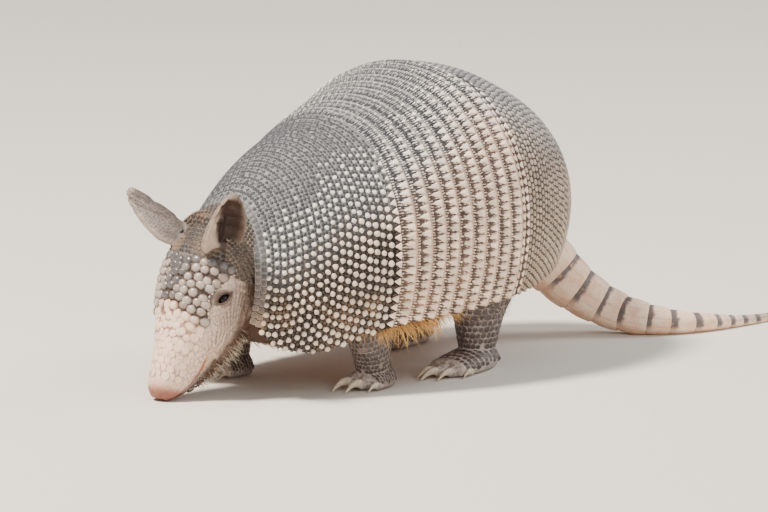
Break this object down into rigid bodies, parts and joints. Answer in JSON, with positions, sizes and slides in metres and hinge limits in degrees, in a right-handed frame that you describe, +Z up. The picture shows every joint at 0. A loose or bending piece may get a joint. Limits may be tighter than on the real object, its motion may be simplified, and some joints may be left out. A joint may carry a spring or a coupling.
{
  "type": "nine-banded armadillo",
  "caption": "Standing armadillo, life size, drinking with its head lowered: domed shell with movable-looking bands, long snout, upright ears and a ringed tail.",
  "frame": {"origin": "on the floor, below the middle of the animal's overall bounding box", "axes": "+Z up, -Y the way the animal faces, +X the animal's left side; the tail lies toward +Y"},
  "size_m": [0.16, 0.4864, 0.1653],
  "materials": {
    "shell": "horny scutes, dull sheen, cream-pink flanks over dark skin",
    "skin": "bare pinkish skin, matt, finely creased",
    "limb_skin": "dark scaly skin with pale creases, matt",
    "claw": "horn, satin",
    "eye": "wet, dark brown to black"
  },
  "bodies": {
    "root": {"band_1": "shell", "band_2": "shell", "band_3": "shell", "band_4": "shell", "band_5": "shell", "band_6": "shell", "band_7": "shell", "band_8": "shell", "band_9": "shell", "claw_front_left_1": "claw", "claw_front_left_2": "claw", "claw_front_left_3": "claw", "claw_front_left_4": "claw", "claw_front_right_1": "claw", "claw_front_right_2": "claw", "claw_front_right_3": "claw", "claw_front_right_4": "claw", "claw_hind_left_1": "claw", "claw_hind_left_2": "claw", "claw_hind_left_3": "claw", "claw_hind_left_4": "claw", "claw_hind_left_5": "claw", "claw_hind_right_1": "claw", "claw_hind_right_2": "claw", "claw_hind_right_3": "claw", "claw_hind_right_4": "claw", "claw_hind_right_5": "claw", "ear_left": "skin", "ear_right": "skin", "eye_left": "eye", "eye_right": "eye", "foot_front_left": "limb_skin", "foot_front_right": "limb_skin", "foot_hind_left": "limb_skin", "foot_hind_right": "limb_skin", "head": "skin", "head_shield": "shell", "leg_front_left": "limb_skin", "leg_front_right": "limb_skin", "leg_hind_left": "limb_skin", "leg_hind_right": "limb_skin", "neck": "skin", "shell_hip": "shell", "shell_shoulder": "shell", "tail_1": "skin", "tail_2": "skin", "tail_3": "skin", "tail_4": "skin", "trunk": "skin"}
  },
  "joints": []
}
